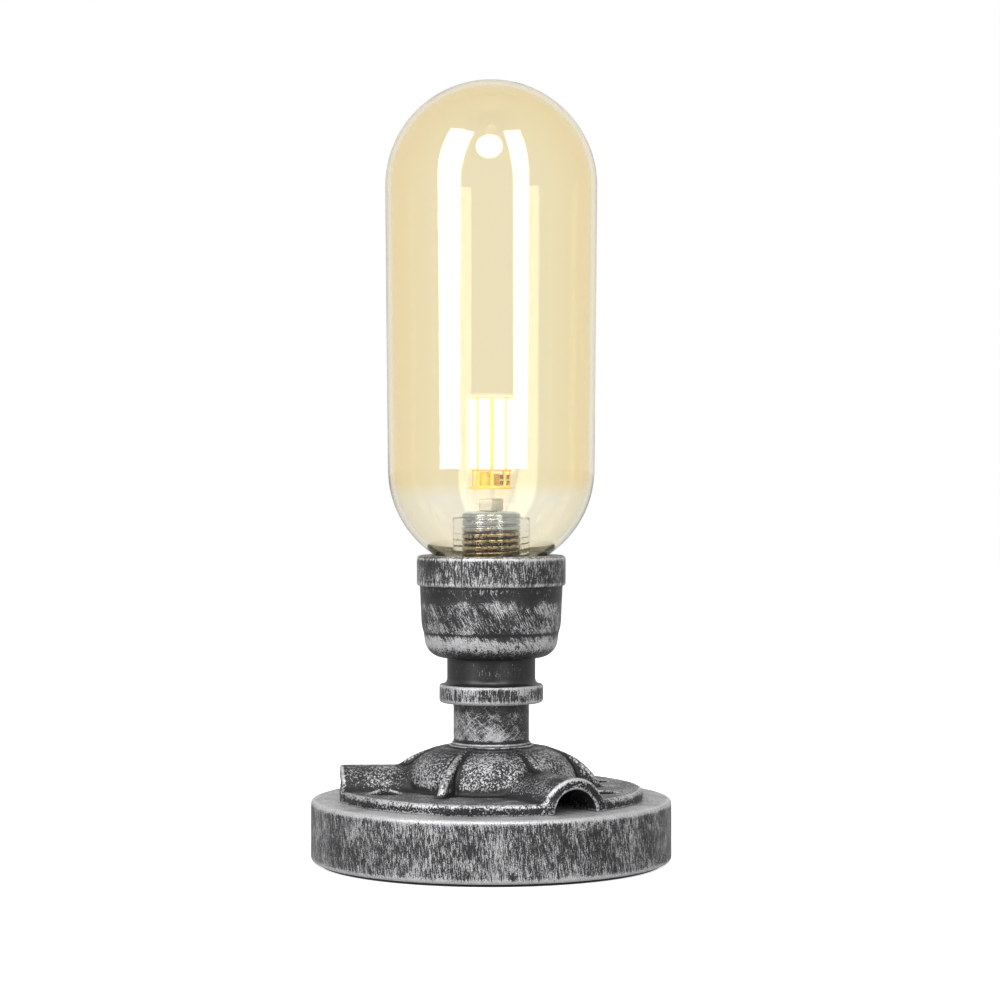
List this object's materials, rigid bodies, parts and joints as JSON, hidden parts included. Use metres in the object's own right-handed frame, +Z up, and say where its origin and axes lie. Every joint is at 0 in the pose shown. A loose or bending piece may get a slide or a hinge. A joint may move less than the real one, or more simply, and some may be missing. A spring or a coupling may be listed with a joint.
{
  "type": "table lamp",
  "caption": "Industrial pipe table lamp: round foot, ribbed cast flange, pipe, coupling and an amber capsule glass that lifts off a two-pin bulb.",
  "frame": {"origin": "centre of the felt pad's underside, on the table under the lamp's axis", "axes": "+Z up along the lamp's axis, -Y towards the viewer in front, +Y towards the cord outlet, the flange's lone channel towards -X"},
  "size_m": [0.12, 0.12, 0.26],
  "materials": {
    "felt": "dense black felt",
    "foot_paint": "dark grey paint, dry-brushed upright with silver",
    "flange_paint": "sand-cast, dark grey with silver on the high spots",
    "pipe_paint": "dark grey paint, dry-brushed with silver",
    "coupling_paint": "dark grey paint, dry-brushed with silver",
    "disc_paint": "dark grey paint, satin",
    "zinc": "zinc plated, satin",
    "brass": "plain brass",
    "grommet_rubber": "matt black",
    "seal_rubber": "dark rubber",
    "block_plastic": "matt, off-white",
    "wire_live": "brown insulation",
    "wire_neutral": "blue insulation",
    "wire_earth": "green insulation with a yellow line",
    "nickel": "nickel plated, warm reflections",
    "holder_ceramic": "unglazed, bluish white",
    "contact_brass": "spring brass",
    "amber_glass": "clear amber glass, polished",
    "clear_collar": "clear moulded plastic with a thread",
    "bulb_clear": "clear cover",
    "core_white": "white circuit board",
    "led_phosphor": "glowing yellow-white",
    "driver_gold": "golden electronic parts",
    "bulb_grey": "pale grey pinch",
    "pin_steel": "bright wire"
  },
  "bodies": {
    "lamp": {"felt_pad": "felt", "base_disc": "foot_paint", "cord_grommet": "grommet_rubber", "rod_washer": "zinc", "rod_nut_lower": "brass", "threaded_rod": "zinc", "terminal_block": "block_plastic", "terminal_barrels": "brass", "terminal_screws": "zinc", "block_screws": "zinc", "earth_screw": "brass", "earth_tag": "zinc", "live_wire": "wire_live", "neutral_wire": "wire_neutral", "earth_wire": "wire_earth", "flange": "flange_paint", "pipe_nipple": "pipe_paint", "reducing_coupling": "coupling_paint", "mouth_disc": "disc_paint", "rod_nut_upper": "brass", "seal_ring": "seal_rubber", "socket_shell": "nickel", "socket_ceramic": "holder_ceramic", "socket_contacts": "contact_brass"},
    "shade": {"glass_shade": "amber_glass", "thread_collar": "clear_collar"},
    "bulb": {"bulb_cover": "bulb_clear", "bulb_core": "core_white", "led_strips": "led_phosphor", "driver_board": "driver_gold", "bulb_base": "bulb_grey", "bulb_pins": "pin_steel"}
  },
  "joints": [
    {"name": "shade_lift", "type": "slide", "parent": "lamp", "child": "shade", "axis": [0, 0, 1], "range_m": [0, 0.075]},
    {"name": "bulb_pull", "type": "slide", "parent": "lamp", "child": "bulb", "axis": [0, 0, 1], "range_m": [0, 0.03]}
  ]
}
